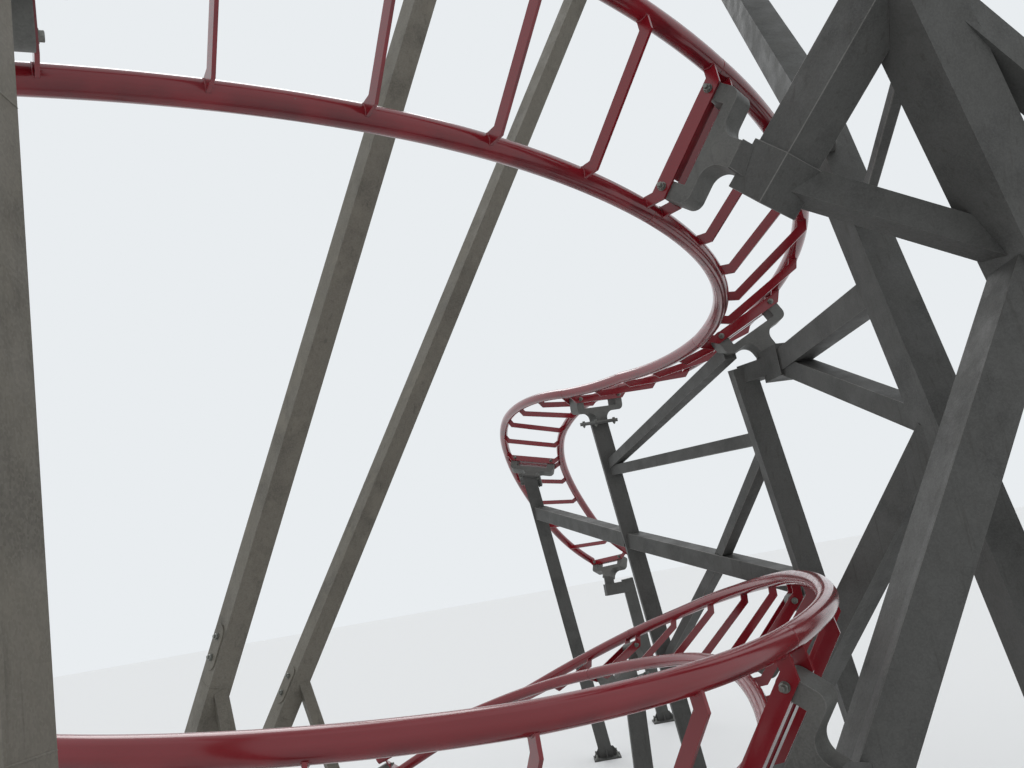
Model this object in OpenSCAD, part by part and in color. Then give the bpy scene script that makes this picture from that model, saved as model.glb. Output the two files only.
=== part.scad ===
// Roller coaster track: two banked turns, one above the other, on galvanised box-section supports.
// Origin on the floor at the centre of the left post's base plate, +Z up, +Y along the longest run.

/* [Rails] */
// Distance between the centres of the two rails
gauge = 1030; // [950:10:1150]
// Outside diameter of a rail tube
rail_d = 140; // [120:5:160]
// Gap left round a rail for the weld
weld_gap = 0.8; // [0.5:0.1:1.5]
// Sides of a rail tube's section
rail_sides = 12; // [8:2:16]

/* [Ties] */
// Distance between ties along the centre line
tie_pitch = 820; // [760:10:880]
// Bays in one length of track, from joint to joint
bays = 5; // [5:5]
// Depth of a tie plate
tie_depth = 80; // [60:5:100]
// Thickness of a tie plate
tie_t = 20; // [12:1:25]
// Drop of a tie's middle below the rail centres
tie_drop = 100; // [90:5:120]

/* [Joints] */
// Depth of a joint frame
frame_depth = 105; // [90:5:120]
// Thickness of a joint frame's plate
frame_t = 20; // [15:1:25]
// Gap between the two frames of a joint, filled by the support's head
frame_gap = 190; // [170:5:210]
// Diameter of the joint bolts' holes
joint_hole_d = 30; // [20:1:36]
// Distance between the two bolts of a joint, one near each rail
joint_bolt_x = 680; // [640:10:700]

/* [Heads] */
// Width of each ear that stands between the joint frames, round a bolt
ear_w = 120; // [100:5:130]
// Clear height between the frames and the band that joins the ears
band_drop = 90; // [70:5:110]
// Depth of the band
band_depth = 75; // [60:5:90]
// Width of a head's stem
stem_w = 190; // [170:10:200]
// Radius of the round haunch beside the stem
haunch_r = 110; // [90:5:120]
// Length of the stem below the haunches
stem_l = 40; // [35:5:80]
// Thickness of the flange at a stem's end
flange_t = 25; // [15:1:30]
// Rim of a flange past the box that it closes
flange_rim = 80; // [60:5:100]
// Diameter of the flange bolts' holes
flange_hole_d = 22; // [16:1:26]

/* [Supports] */
// Side of the left post's box section
post_size = 240; // [220:10:280]
// Drop of the left post's arm below the first head
post_arm_drop = 190; // [150:10:250]
// Height of the left post past its arm
post_past = 900; // [700:100:1500]
// Side of the right leg's box section
leg_size = 380; // [340:10:400]
// Side of the front leg's, left leg's and rear column's box sections
frame_size = 290; // [260:10:300]
// Side of the other columns' and the rear leg's box sections
column_size = 240; // [220:10:260]
// Side of the cross tie's and the second brace's box sections
tie_bar_size = 190; // [160:10:200]
// Side of the raking columns' box sections
rake_size = 190; // [180:10:220]
// Side of the light bars' box sections
bar_size = 140; // [100:5:150]
// Side of the thin stays' box sections
stay_size = 80; // [60:5:100]
// Side of the box sections of the raking columns' short legs
short_leg_size = 110; // [90:5:120]
// Side of the upper brace's, the long beam's and the outer beam's box sections
beam_size = 220; // [200:10:230]
// Side of the box where the braces meet
node_size = 330; // [300:10:360]

/* [Base plates] */
// Rim of a base plate past its column
base_rim = 120; // [110:5:160]
// Thickness of a base plate
base_t = 30; // [20:1:40]
// Diameter of the anchor holes
anchor_d = 34; // [24:1:40]
// Distance from an anchor hole to the plate's edge
anchor_edge = 55; // [50:1:60]
// Height of the ribs between a base plate and its column
rib_h = 160; // [120:10:220]
// Thickness of the ribs
rib_t = 15; // [10:1:20]

/* [Hidden] */
$fn = 32;
paint = "#a3192b";
zinc = "#7d7f7d";

// A run's rows: bays, turn to the left, climb, roll to the left, all in degrees over the row
upper_run = [
    [2, 9, -3, -2], [3, 15, -6, -3], [3, 25, 3, -15], [2, 18, 0, -9], [3, 16, 7, -22],
    [2, 8, 5, -1], [3, -18, -15, -18], [2, -15, -14, -2], [3, -22, -16, 10], [2, -17, 9, 9]
];
lower_run = [
    [3, 48, 9, -8], [2, 28, 7, 0], [2, 23, -1, 3], [3, 10, -2, -10],
    [3, 25, -7, -12], [2, 19, -4, -13], [2, 20, -6, -18], [3, 30, -5, -25]
];
// Steps of the centre line in one bay
steps = 6;
// Rings of a rail in one bay
rings = 3;

// A track: its start point, its heading, climb and bank there, its run, its centre line, and the
// joints whose heads are bolted to their supports by flanges; the other heads are welded on
upper = track([-260, 740, 5980], [29, 3, 55], upper_run, [1, 4, 5]);
lower = track([-1250, 1730, 2600], [-22, -12, 61], lower_run, [1, 4, 5]);

function track(start, angles, run, flanged) = [start, angles, run, walk(start, angles, run), flanged];
function run_bays(run, i = 0) = i < len(run) ? run[i][0] + run_bays(run, i + 1) : 0;
function run_angle(run, k, t, i = 0) = i >= len(run) || t <= 0 ? 0
    : run[i][k] * min(t / run[i][0], 1) + run_angle(run, k, t - run[i][0], i + 1);
function walk(start, angles, run) = [
    for (i = 0, p = start; i <= run_bays(run) * steps;
        p = p + tie_pitch / steps * ahead([start, angles, run], (i + 0.5) / steps), i = i + 1) p
];

// Directions at a place t, counted in bays from the start of the track
function angle(tr, k, t) = tr[1][k - 1] + run_angle(tr[2], k, t);
function ahead(tr, t) = let (h = angle(tr, 1, t), c = angle(tr, 2, t))
    [cos(c) * cos(h), cos(c) * sin(h), sin(c)];
function level_right(tr, t) = let (h = angle(tr, 1, t)) [sin(h), -cos(h), 0];
function level_up(tr, t) = let (h = angle(tr, 1, t), c = angle(tr, 2, t))
    [-sin(c) * cos(h), -sin(c) * sin(h), cos(c)];
function right(tr, t) = let (b = angle(tr, 3, t)) cos(b) * level_right(tr, t) + sin(b) * level_up(tr, t);
function up(tr, t) = let (b = angle(tr, 3, t)) cos(b) * level_up(tr, t) - sin(b) * level_right(tr, t);
function centre(tr, t) = let (i = floor(t * steps + 0.001))
    tr[3][i] + (t - i / steps) * tie_pitch * ahead(tr, (t + i / steps) / 2);
function rail_centre(tr, t, side) = centre(tr, t) + side * gauge / 2 * right(tr, t);
// A point at x to the right, y ahead and z above the rail plane of the place t
function place(tr, t, q) = centre(tr, t) + q.x * right(tr, t) + q.y * ahead(tr, t) + q.z * up(tr, t);
// The other way round: where a point of the model lies as seen from the place t
function seen_from(tr, t, q) = let (v = q - centre(tr, t))
    [v * right(tr, t), v * ahead(tr, t), v * up(tr, t)];

// Places of the rail rings in the length that ends at joint k
frame_y = (frame_gap + frame_t) / 2;
function ring_places(k) = let (a = bays * (k - 1), b = bays * k, f = frame_y / tie_pitch)
    concat([a, a + f], [for (i = [1 : rings * bays - 1]) a + i / rings], [b - f, b]);

// Tie and frame outline, in the plane across the track
tie_end = tie_depth / 2 * cos(45);
tie_top = tie_depth / 2 - tie_drop;
frame_bottom = tie_top - frame_depth;
frame_mid = tie_top - frame_depth / 2;

// Head outline, downwards from the frames
head_w = joint_bolt_x + ear_w;
band_top = frame_bottom - band_drop;
band_bottom = band_top - band_depth;
shoulder = band_bottom - haunch_r;
reach = stem_l - shoulder;

function joint_t(k) = bays * (k - 1);
function has_flange(tr, k) = len(search(k, tr[4])) > 0;
function stem_end(tr, k) = place(tr, joint_t(k), [0, 0, -reach - flange_t]);
// A point at q from the end of joint k's stem, and the point of the floor below it
function by(tr, k, q) = stem_end(tr, k) + q;
function floor_by(tr, k, x, y) = [stem_end(tr, k).x + x, stem_end(tr, k).y + y, 0];
// The point where the line from a down through b meets the floor
function floor_past(a, b) = a + (b - a) * a.z / (a.z - b.z);
// The point of a member at a height
function at_height(run, z) = run[0] + (run[1] - run[0]) * (z - run[0].z) / (run[1].z - run[0].z);

// Members of the supports: foot or first end, other end, side of the box section, and where it
// matters the compass direction that one pair of its faces looks along
frame_node = by(upper, 2, [150, -70, -200]);
frame_apex = frame_node + [770, -600, 900];
frame_corner = frame_node + [1400, 10, -760];
front_knee = by(lower, 2, [206, 266, -90]);
right_leg_run = [floor_by(upper, 2, 3290, 1670), frame_node + [640, -720, 1230], leg_size, 20];
left_leg_run = [frame_node, frame_apex, frame_size, 128];
front_leg_run = [floor_past(frame_corner, front_knee), frame_corner, frame_size, 98];
cross_tie_run = [frame_node, frame_corner, tie_bar_size];
outer_beam_run = [frame_apex, frame_corner + [890, -20, 210], beam_size];
rear_column_run = [floor_by(upper, 3, 520, -3530), by(upper, 3, [210, -2270, 1580]), frame_size, 8];
rear_top_run = [rear_column_run[1], by(upper, 3, [705, 480, 4940]), frame_size, 8];
column_3_run = [floor_by(upper, 3, 440, 1020), by(upper, 3, [-270, 130, -100]), column_size, 0];
column_4_run = column_run(upper, 4, floor_by(upper, 4, 505, 545));
column_5_run = column_run(upper, 5, floor_by(upper, 5, 500, 520));
column_6_run = [floor_by(upper, 6, 600, 145), by(upper, 6, [388, 53, -70]), column_size, 0];
column_6_arm_drop = 230;
// Heights at which braces, stays and beams meet the members
brace_zs = [4980, 3820];
stay_zs = [[5550, 6000], [6250, 5820]];
long_beam_zs = [4480, 3600, 2700];
light_bar_zs = [4620, 4300];
steep_bar_z = 4700;
diagonal_bar_zs = [1800, 3090, 4180];
top_beam_zs = [[9000, 10700], [10450, 9900]];
rear_knee = by(lower, 3, [-396, -242, -580]);
rear_leg_top = at_height(rear_column_run, brace_zs[1]);
rear_leg_run = [floor_past(rear_leg_top, rear_knee), rear_leg_top, column_size];
// Box behind joint 3 of the upper track where the braces end
brace_node = by(upper, 3, [90, -220, -190]);
// Raking columns: foot, top, foot of the short leg, height of its meeting point
rakes = [
    [[-2750, 5800, 0], [1840, 4175, 9200], [-950, 5150, 0], 2900],
    [[-2780, 7150, 0], [3615, 7700, 11000], [-550, 7200, 0], 2750]
];
// Half the side of the block that trims the feet level with the floor
trim = 20000;

post_arm_z = stem_end(upper, 1).z - post_arm_drop;
post_h = post_arm_z + post_past;

function column_run(tr, k, foot) = [foot, stem_end(tr, k), column_size, 0];
function long_beam_run(i) = let (runs = [column_5_run, column_4_run, column_3_run])
    [at_height(runs[i], long_beam_zs[i]), at_height(runs[i + 1], long_beam_zs[i + 1]), beam_size];
function rake_run(row) = [row[0], row[1], rake_size, 40];

module at_place(tr, t) {
    r = right(tr, t);
    a = ahead(tr, t);
    u = up(tr, t);
    c = centre(tr, t);
    multmatrix([
        [r.x, a.x, u.x, c.x],
        [r.y, a.y, u.y, c.y],
        [r.z, a.z, u.z, c.z]
    ]) children();
}

// A plate across the track, from an outline in x and z, with its middle at y
module across(y, thick) {
    translate([0, y, 0]) rotate([90, 0, 0]) linear_extrude(thick, center = true) children();
}

module rail(tr, k, side) {
    places = ring_places(k);
    n = rail_sides;
    points = [
        for (t = places)
            let (c = rail_centre(tr, t, side), r = right(tr, t), u = up(tr, t))
            for (j = [0 : n - 1]) c + rail_d / 2 * (cos(j * 360 / n) * r + sin(j * 360 / n) * u)
    ];
    last = (len(places) - 1) * n;
    faces = concat(
        [[for (j = [0 : n - 1]) n - 1 - j]],
        [[for (j = [0 : n - 1]) last + j]],
        [for (i = [0 : len(places) - 2]) for (j = [0 : n - 1]) let (a = i * n, b = (j + 1) % n)
            each [[a + j, a + b, a + n + b], [a + j, a + n + b, a + n + j]]]
    );
    polyhedron(points, faces);
}

module rails(tr, k) {
    color(paint) {
        rail(tr, k, -1);
        rail(tr, k, 1);
    }
}

// Straight plate below the rails whose ends rise at 45 degrees to the rail centres
module yoke_outline(depth) {
    x_in = gauge / 2 - tie_end;
    x_out = gauge / 2 + tie_end;
    bottom = tie_top - depth;
    x_top = x_in - (tie_end - tie_top);
    x_bottom = x_out + tie_end + bottom;
    polygon([
        [x_top, tie_top], [x_in, tie_end], [x_out, -tie_end], [x_bottom, bottom],
        [-x_bottom, bottom], [-x_out, -tie_end], [-x_in, tie_end], [-x_top, tie_top]
    ]);
}

module rail_seat(x, y, z) {
    translate([x, y, z]) rotate([90, 0, 0])
        cylinder(h = 3 * frame_t, d = rail_d + 2 * weld_gap, center = true);
}

module tie(tr, t) {
    at_place(tr, t) difference() {
        across(0, tie_t) yoke_outline(tie_depth);
        for (side = [-1, 1]) rail_seat(side * gauge / 2, 0, 0);
    }
}

module joint_holes(length) {
    for (x = [-1, 1]) translate([x * joint_bolt_x / 2, 0, frame_mid])
        rotate([90, 0, 0]) cylinder(h = length, d = joint_hole_d, center = true);
}

// End frame of a length of track: way is 1 past the joint, -1 before it
module joint_frame(tr, k, way) {
    t = joint_t(k);
    at_place(tr, t) difference() {
        across(way * frame_y, frame_t) yoke_outline(frame_depth);
        for (side = [-1, 1]) {
            q = seen_from(tr, t, rail_centre(tr, t + way * frame_y / tie_pitch, side));
            rail_seat(q.x, way * frame_y, q.z);
        }
        translate([0, way * frame_y, 0]) joint_holes(3 * frame_t);
    }
}

module ties(tr, k) {
    color(paint) {
        joint_frame(tr, k, 1);
        for (i = [1 : bays - 1]) tie(tr, joint_t(k) + i);
        joint_frame(tr, k + 1, -1);
    }
}

module flange(size) {
    w = size + 2 * flange_rim;
    difference() {
        translate([-w / 2, -w / 2, 0]) cube([w, w, flange_t]);
        for (x = [-1, 1], y = [-1, 1])
            translate([x * (size + flange_rim) / 2, y * (size + flange_rim) / 2, -1])
                cylinder(h = flange_t + 2, d = flange_hole_d);
    }
}

// Two ears round the bolts, a band with round ends that joins them, haunches and stem
module head_outline(stem_bottom) {
    waist = stem_w / 2 + haunch_r;
    for (side = [-1, 1]) translate([side * joint_bolt_x / 2, 0]) {
        translate([0, frame_mid]) circle(d = ear_w);
        translate([-ear_w / 2, band_top]) square([ear_w, frame_mid - band_top]);
        translate([side * (ear_w / 2 - band_depth), band_top]) intersection() {
            circle(r = band_depth);
            translate([-band_depth, -band_depth]) square([2 * band_depth, band_depth]);
        }
    }
    translate([band_depth - head_w / 2, band_bottom]) square([head_w - 2 * band_depth, band_depth]);
    difference() {
        translate([-waist, shoulder]) square([2 * waist, haunch_r]);
        for (side = [-1, 1]) translate([side * waist, shoulder]) circle(r = haunch_r);
    }
    translate([-stem_w / 2, stem_bottom]) square([stem_w, shoulder - stem_bottom]);
}

// Thick head between the joint frames, with a flange or with a longer stem to weld on
module head(tr, k) {
    flanged = has_flange(tr, k);
    color(zinc) at_place(tr, joint_t(k)) {
        difference() {
            across(0, frame_gap) head_outline(flanged ? flange_t - reach : -flange_t - reach);
            joint_holes(2 * frame_gap);
        }
        if (flanged) translate([0, 0, -reach]) flange(column_size);
    }
}

// Frame of a member: z along it from a, x along the compass direction face squared to it
module along(run) {
    v = run[1] - run[0];
    z = v / norm(v);
    g = is_undef(run[3]) ? [-z.y, z.x, 0] : [cos(run[3]), sin(run[3]), 0];
    w = g - (g * z) * z;
    x = w / norm(w);
    y = cross(z, x);
    multmatrix([
        [x.x, y.x, z.x, run[0].x],
        [x.y, y.y, z.y, run[0].y],
        [x.z, y.z, z.z, run[0].z]
    ]) children();
}

// Box section along a member, from before its first end to past its other end
module strut(run, before = 0, past = 0) {
    size = run[2];
    along(run) translate([-size / 2, -size / 2, -before])
        cube([size, size, before + norm(run[1] - run[0]) + past]);
}

// The same, cut off level at the floor
module leg(run, past = 0) {
    difference() {
        strut(run, run[2], past);
        translate([-trim, -trim, -2 * trim]) cube([2 * trim, 2 * trim, 2 * trim]);
    }
}

// Plate that closes the free end of a member, with bolt holes in its rim
module end_flange(run) {
    along(run) translate([0, 0, norm(run[1] - run[0])]) flange(run[2]);
}

// Four ribs from the middle of the column to the edges of its base plate
module ribs(foot, size) {
    edge = size / 2 + base_rim - rib_t;
    for (a = [0 : 90 : 270])
        translate([foot.x, foot.y, base_t]) rotate([90, 0, a]) linear_extrude(rib_t, center = true)
            polygon([[-size / 4, 0], [edge, 0], [edge, rib_t], [size / 2 + rib_t, rib_h], [-size / 4, rib_h]]);
}

module base_plate(foot, size) {
    w = size + 2 * base_rim;
    e = w / 2 - anchor_edge;
    ribs(foot, size);
    translate([foot.x, foot.y, 0]) difference() {
        translate([-w / 2, -w / 2, 0]) cube([w, w, base_t]);
        for (x = [-e, e], y = [-e, e]) translate([x, y, -1]) cylinder(h = base_t + 2, d = anchor_d);
    }
}

// Block on the far side of a head's flange, to cut what carries the head off flush
module past_flange(tr, k, size) {
    at_place(tr, joint_t(k)) translate([-2 * size, -2 * size, -reach - flange_t])
        cube([4 * size, 4 * size, 4 * size]);
}

module mating_flange(tr, k) {
    if (has_flange(tr, k))
        at_place(tr, joint_t(k)) translate([0, 0, -reach - flange_t]) flange(column_size);
}

// Arm from a point to a head, with the flange where the head is bolted on
module carrier(tr, k, from, face) {
    mating_flange(tr, k);
    difference() {
        strut([from, stem_end(tr, k), stem_w, face], 0, 2 * stem_w);
        past_flange(tr, k, stem_w);
    }
}

// Column straight up to a head, on a base plate
module column(tr, k, foot) {
    run = column_run(tr, k, foot);
    color(zinc) {
        mating_flange(tr, k);
        difference() {
            leg(run, 2 * column_size);
            past_flange(tr, k, column_size);
        }
        base_plate(foot, column_size);
    }
}

module left_post() {
    color(zinc) {
        translate([-post_size / 2, -post_size / 2, 0]) cube([post_size, post_size, post_h]);
        translate([0, 0, post_h]) flange(post_size);
        carrier(upper, 1, [0, 0, post_arm_z]);
        base_plate([0, 0, 0], post_size);
    }
}

module right_leg() {
    color(zinc) {
        leg(right_leg_run);
        end_flange(right_leg_run);
        base_plate(right_leg_run[0], leg_size);
    }
}

module left_leg() {
    s = node_size;
    color(zinc) {
        difference() {
            strut(left_leg_run);
            leg(right_leg_run);
        }
        along(left_leg_run) translate([-s / 2, -s / 2, -s / 2]) cube([s, s, s]);
        carrier(upper, 2, frame_node);
    }
}

module front_leg() {
    color(zinc) {
        difference() {
            leg(front_leg_run);
            leg(right_leg_run);
        }
        carrier(lower, 2, front_knee);
        base_plate(front_leg_run[0], frame_size);
    }
}

module cross_tie() {
    color(zinc) difference() {
        strut(cross_tie_run);
        left_leg();
        leg(right_leg_run);
        leg(front_leg_run);
    }
}

module outer_beam() {
    color(zinc) {
        difference() {
            strut(outer_beam_run);
            strut(left_leg_run);
            leg(right_leg_run);
        }
        end_flange(outer_beam_run);
    }
}

module rear_column() {
    color(zinc) {
        leg(rear_column_run);
        strut(rear_top_run);
        end_flange(rear_top_run);
        base_plate(rear_column_run[0], frame_size);
    }
}

module rear_leg() {
    color(zinc) {
        difference() {
            leg(rear_leg_run, -column_size / 4);
            leg(rear_column_run);
        }
        carrier(lower, 3, rear_knee);
        base_plate(rear_leg_run[0], column_size);
    }
}

// Box behind the upper track's third joint, its two braces to the rear column, its tie to column 3
module braces() {
    s = node_size;
    sizes = [beam_size, tie_bar_size];
    color(zinc) difference() {
        union() {
            translate(brace_node) rotate([0, 0, 15]) translate([-s / 2, -s / 2, -s / 2]) cube([s, s, s]);
            for (i = [0, 1]) strut([brace_node, at_height(rear_column_run, brace_zs[i]), sizes[i]]);
            strut([brace_node, at_height(column_3_run, brace_node.z), tie_bar_size]);
            carrier(upper, 3, brace_node);
        }
        leg(rear_column_run);
        leg(rear_leg_run);
        leg(column_3_run);
        head(upper, 3);
    }
}

// Two thin stays from the rear column forward to the two legs of the frame
module frame_stays() {
    runs = [right_leg_run, left_leg_run];
    color(zinc) difference() {
        for (i = [0, 1]) let (zs = stay_zs[i])
            strut([at_height(rear_column_run, zs[0]), at_height(runs[i], zs[1]), stay_size]);
        leg(rear_column_run);
        leg(right_leg_run);
        strut(left_leg_run);
    }
}

module column_3() {
    color(zinc) {
        leg(column_3_run);
        base_plate(column_3_run[0], column_size);
    }
}

// Column beside the upper track's last joint, with a deep arm that carries the head
module column_6() {
    arm = by(upper, 6, [0, 0, -column_6_arm_drop]);
    color(zinc) {
        leg(column_6_run);
        strut([at_height(column_6_run, arm.z), arm, column_size], 0, column_size / 2);
        carrier(upper, 6, arm, 0);
        base_plate(column_6_run[0], column_size);
    }
}

// Sloping beam in two lengths that ties columns 5, 4 and 3 together
module long_beam_boxes() {
    for (i = [0, 1]) strut(long_beam_run(i), -column_size / 4, -column_size / 4);
}

module long_beam() {
    color(zinc) difference() {
        long_beam_boxes();
        for (run = [column_5_run, column_4_run, column_3_run]) leg(run);
    }
}

// Light bars from column 4: one to column 3, a steeper one to the left end of the head beside it
module light_bars() {
    column_end = at_height(column_3_run, light_bar_zs[1]);
    head_end = place(upper, joint_t(3), [(ear_w - head_w) / 2, 0, (band_top + band_bottom) / 2]);
    color(zinc) difference() {
        union() {
            strut([at_height(column_4_run, light_bar_zs[0]), column_end, bar_size]);
            strut([at_height(column_4_run, steep_bar_z), head_end, bar_size]);
        }
        leg(column_4_run);
        leg(column_3_run);
        head(upper, 3);
    }
}

// Steep bar in two lengths, from column 4 to the long beam and from there to column 3
module diagonal_bar() {
    zs = diagonal_bar_zs;
    middle = at_height(long_beam_run(1), zs[1]);
    color(zinc) difference() {
        union() {
            strut([at_height(column_4_run, zs[0]), middle, bar_size]);
            strut([middle, at_height(column_3_run, zs[2]), bar_size]);
        }
        leg(column_4_run);
        leg(column_3_run);
        long_beam_boxes();
    }
}

module raking_column(row) {
    run = rake_run(row);
    color(zinc) {
        leg(run);
        end_flange(run);
        base_plate(run[0], rake_size);
    }
}

module short_leg(row) {
    run = [row[2], at_height(rake_run(row), row[3]), short_leg_size, 30];
    color(zinc) {
        difference() {
            leg(run);
            leg(rake_run(row));
        }
        base_plate(run[0], short_leg_size);
    }
}

// Beam over the tops of the raking columns to the top of the rear column, in two lengths
module top_beam() {
    runs = [rake_run(rakes[0]), rake_run(rakes[1]), rear_top_run];
    color(zinc) difference() {
        for (i = [0, 1]) let (ends = [for (j = [0, 1]) at_height(runs[i + j], top_beam_zs[i][j])])
            strut([ends[0], ends[1], bar_size], -rake_size / 4, -rake_size / 4);
        leg(runs[0]);
        leg(runs[1]);
        strut(rear_top_run);
    }
}

rails(upper, 1);  // upper_rails_1
rails(upper, 2);  // upper_rails_2
rails(upper, 3);  // upper_rails_3
rails(upper, 4);  // upper_rails_4
rails(upper, 5);  // upper_rails_5
ties(upper, 1);  // upper_ties_1
ties(upper, 2);  // upper_ties_2
ties(upper, 3);  // upper_ties_3
ties(upper, 4);  // upper_ties_4
ties(upper, 5);  // upper_ties_5
rails(lower, 1);  // lower_rails_1
rails(lower, 2);  // lower_rails_2
rails(lower, 3);  // lower_rails_3
rails(lower, 4);  // lower_rails_4
ties(lower, 1);  // lower_ties_1
ties(lower, 2);  // lower_ties_2
ties(lower, 3);  // lower_ties_3
ties(lower, 4);  // lower_ties_4
head(upper, 1);  // upper_head_1
head(upper, 2);  // upper_head_2
head(upper, 3);  // upper_head_3
head(upper, 4);  // upper_head_4
head(upper, 5);  // upper_head_5
head(upper, 6);  // upper_head_6
head(lower, 1);  // lower_head_1
head(lower, 2);  // lower_head_2
head(lower, 3);  // lower_head_3
head(lower, 4);  // lower_head_4
head(lower, 5);  // lower_head_5
left_post();
right_leg();
left_leg();
front_leg();
cross_tie();
outer_beam();
rear_column();
rear_leg();
braces();
frame_stays();
column_3();
column(upper, 4, column_4_run[0]);  // column_4
column(upper, 5, column_5_run[0]);  // column_5
column_6();
long_beam();
light_bars();
diagonal_bar();
column(lower, 1, floor_by(lower, 1, -35, -240));  // lower_post_1
column(lower, 4, floor_by(lower, 4, -120, -160));  // lower_post_4
column(lower, 5, floor_by(lower, 5, -80, -25));  // lower_post_5
raking_column(rakes[0]);  // raking_column_1
raking_column(rakes[1]);  // raking_column_2
short_leg(rakes[0]);  // short_leg_1
short_leg(rakes[1]);  // short_leg_2
top_beam();
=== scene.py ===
"""Roller coaster track section with its supports: tubes, plates, bolts, welds, finishes and stage."""
import math

import bmesh
import bpy
import numpy as np
from bpy.props import FloatProperty, FloatVectorProperty, IntProperty, PointerProperty, StringProperty
from mathutils import Matrix


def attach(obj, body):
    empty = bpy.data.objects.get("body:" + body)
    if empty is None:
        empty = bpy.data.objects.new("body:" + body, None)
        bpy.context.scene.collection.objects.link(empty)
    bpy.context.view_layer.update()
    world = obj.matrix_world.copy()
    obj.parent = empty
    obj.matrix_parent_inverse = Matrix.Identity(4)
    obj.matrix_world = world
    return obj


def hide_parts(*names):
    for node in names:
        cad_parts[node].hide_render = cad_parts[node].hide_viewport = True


bl_info = {
    "name": "Roller coaster track section",
    "version": (1, 0, 0),
    "blender": (4, 5, 0),
    "location": "3D View > Sidebar > Track",
    "description": "Dresses the track section and its supports: tubes, plates, bolts, welds, finishes",
    "category": "Object",
}

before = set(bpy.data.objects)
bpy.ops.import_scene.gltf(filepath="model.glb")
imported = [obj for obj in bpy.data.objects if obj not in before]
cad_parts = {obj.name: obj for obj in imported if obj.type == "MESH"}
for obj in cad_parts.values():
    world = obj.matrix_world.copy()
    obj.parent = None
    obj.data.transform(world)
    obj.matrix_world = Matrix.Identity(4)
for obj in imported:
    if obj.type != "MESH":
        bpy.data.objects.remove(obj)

# A run's rows: bays, turn to the left, climb, roll to the left, in degrees over the row
UPPER = {
    "name": "upper", "lengths": 5, "start": (-0.26, 0.74, 5.98), "angles": (29, 3, 55),
    "flanged": (1, 4, 5),
    "rows": ((2, 9, -3, -2), (3, 15, -6, -3), (3, 25, 3, -15), (2, 18, 0, -9), (3, 16, 7, -22),
             (2, 8, 5, -1), (3, -18, -15, -18), (2, -15, -14, -2), (3, -22, -16, 10), (2, -17, 9, 9)),
}
LOWER = {
    "name": "lower", "lengths": 4, "start": (-1.25, 1.73, 2.6), "angles": (-22, -12, 61),
    "flanged": (1, 4, 5),
    "rows": ((3, 48, 9, -8), (2, 28, 7, 0), (2, 23, -1, 3), (3, 10, -2, -10),
             (3, 25, -7, -12), (2, 19, -4, -13), (2, 20, -6, -18), (3, 30, -5, -25)),
}
# Bays in a length, and steps of the centre line's walk in a bay
BAYS = 5
STEPS = 6
# Foot and top of each raking column, and how far up it the middle of its splice sits
RAKES = (((-2.75, 5.8, 0), (1.84, 4.175, 9.2), 3.545), ((-2.78, 7.15, 0), (3.615, 7.7, 11.0), 3.04))
# Compass angle that the spliced faces turn away from
RAKE_COMPASS = math.radians(40)
# Rings of a weld bead in a corner and of one round a rail, and sides of both
BEAD_RINGS, ARC_RINGS, BEAD_SIDES = 9, 15, 8
# Their ripples: radians over a whole bead in a corner, and from ring to ring round a rail
RIPPLE, ARC_RIPPLE = 37, 2.1
# How far a bead round a rail runs past its plate, in radians
OVERRUN = 0.02
# Sides of the fasteners that show from near and of the rest, and points round a splice plate
NEAR_SIDES, FAR_SIDES, PLATE_POINTS = 24, 12, 40
# Angles in degrees up to which the faces of flat, turned and welded pieces are shaded as one surface
FLAT, TURNED, ARCED, BEADED = 30, 35, 60, 70
# Angles in degrees up to which faces of a CAD mesh lie in one plane, and past which a corner is welded
PLANE, INNER = 1.2, 30
# Ground edge of lips and splice plates, and how far a lip runs into its frame, in metres
GROUND, BITE = 0.002, 0.001
# Points of a CAD mesh nearer than this are one, and points nearer to the floor touch it, in metres
MERGED, TOUCHES = 5e-5, 1e-4


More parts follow.
